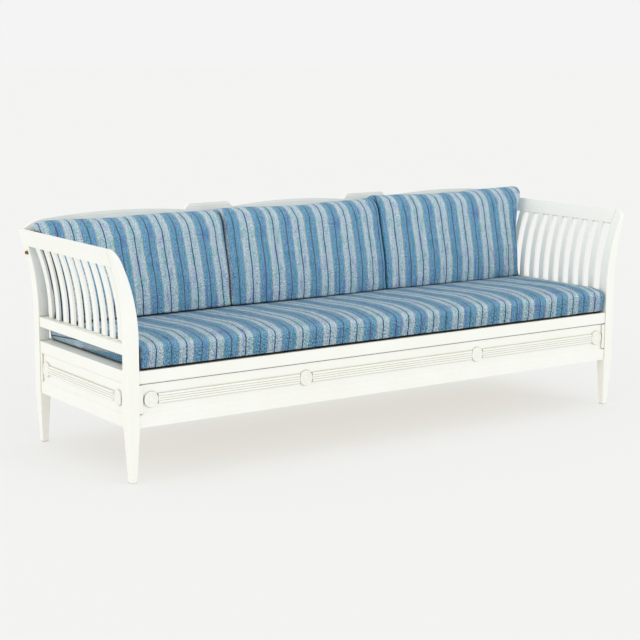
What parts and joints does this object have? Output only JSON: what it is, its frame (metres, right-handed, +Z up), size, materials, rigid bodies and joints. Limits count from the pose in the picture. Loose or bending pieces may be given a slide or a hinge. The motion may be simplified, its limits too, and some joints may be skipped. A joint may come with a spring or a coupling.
{
  "type": "pull-out bench bed",
  "caption": "Painted wooden bench bed with flared slatted arms, a front that draws out on bed slats, a long striped seat cushion and striped back cushions.",
  "frame": {"origin": "on the floor under the middle of the bench's bounding box", "axes": "+X along the bench towards the right end as seen from the front, -Y towards the front, +Z up"},
  "size_m": [2.145, 0.684, 0.787],
  "materials": {
    "painted_wood": "satin off-white paint over wood",
    "bare_pine": "bare planed pine",
    "aged_brass": "aged, dull",
    "striped_fabric": "woven blue striped chenille"
  },
  "bodies": {
    "frame": {"front_left_post": "painted_wood", "front_right_post": "painted_wood", "rear_left_post": "painted_wood", "rear_right_post": "painted_wood", "left_arm_top_rail": "painted_wood", "right_arm_top_rail": "painted_wood", "left_arm_lower_rail": "painted_wood", "right_arm_lower_rail": "painted_wood", "left_arm_slat_01": "painted_wood", "left_arm_slat_02": "painted_wood", "left_arm_slat_03": "painted_wood", "left_arm_slat_04": "painted_wood", "left_arm_slat_05": "painted_wood", "left_arm_slat_06": "painted_wood", "left_arm_slat_07": "painted_wood", "left_arm_slat_08": "painted_wood", "left_arm_slat_09": "painted_wood", "left_arm_slat_10": "painted_wood", "right_arm_slat_01": "painted_wood", "right_arm_slat_02": "painted_wood", "right_arm_slat_03": "painted_wood", "right_arm_slat_04": "painted_wood", "right_arm_slat_05": "painted_wood", "right_arm_slat_06": "painted_wood", "right_arm_slat_07": "painted_wood", "right_arm_slat_08": "painted_wood", "right_arm_slat_09": "painted_wood", "right_arm_slat_10": "painted_wood", "left_side_apron": "painted_wood", "right_side_apron": "painted_wood", "side_reeding": "painted_wood", "side_rosettes": "painted_wood", "rear_seat_rail": "painted_wood", "back_lower_rail": "painted_wood", "left_back_upright": "painted_wood", "right_back_upright": "painted_wood", "crest_rail": "painted_wood", "back_slats": "painted_wood", "seat_ledges": "painted_wood", "front_stretcher": "bare_pine", "fixed_bed_slats": "bare_pine", "drawer_runners": "bare_pine", "bolt_caps": "aged_brass"},
    "pull_out_front": {"front_top_rail": "painted_wood", "front_panel": "painted_wood", "front_bottom_rail": "painted_wood", "front_reeding": "painted_wood", "front_rosettes": "painted_wood", "sliding_bed_slats": "bare_pine", "slat_batten": "bare_pine", "left_pull_rail": "bare_pine", "right_pull_rail": "bare_pine", "leg_pivot_bolts": "aged_brass"},
    "left_leg": {"left_support_leg": "painted_wood"},
    "right_leg": {"right_support_leg": "painted_wood"},
    "seat": {"seat_cushion": "striped_fabric"},
    "left_cushion": {"left_back_cushion": "striped_fabric"},
    "middle_cushion": {"middle_back_cushion": "striped_fabric"},
    "right_cushion": {"right_back_cushion": "striped_fabric"}
  },
  "joints": [
    {"name": "front_draw", "type": "slide", "parent": "frame", "child": "pull_out_front", "axis": [0, -1, 0], "range_m": [0, 0.5]},
    {"name": "left_leg_fold", "type": "hinge", "parent": "pull_out_front", "child": "left_leg", "pos_m": [-0.7, -0.3057, 0.298], "axis": [0, 1, 0], "range_deg": [0, 90]},
    {"name": "right_leg_fold", "type": "hinge", "parent": "pull_out_front", "child": "right_leg", "pos_m": [0.7, -0.3057, 0.298], "axis": [0, -1, 0], "range_deg": [0, 90]},
    {"name": "seat_draw", "type": "slide", "parent": "frame", "child": "seat", "axis": [0, -1, 0], "range_m": [0, 0.3]},
    {"name": "left_cushion_lift", "type": "slide", "parent": "seat", "child": "left_cushion", "axis": [0, 0, 1], "range_m": [0, 0.4]},
    {"name": "middle_cushion_lift", "type": "slide", "parent": "seat", "child": "middle_cushion", "axis": [0, 0, 1], "range_m": [0, 0.4]},
    {"name": "right_cushion_lift", "type": "slide", "parent": "seat", "child": "right_cushion", "axis": [0, 0, 1], "range_m": [0, 0.4]}
  ]
}
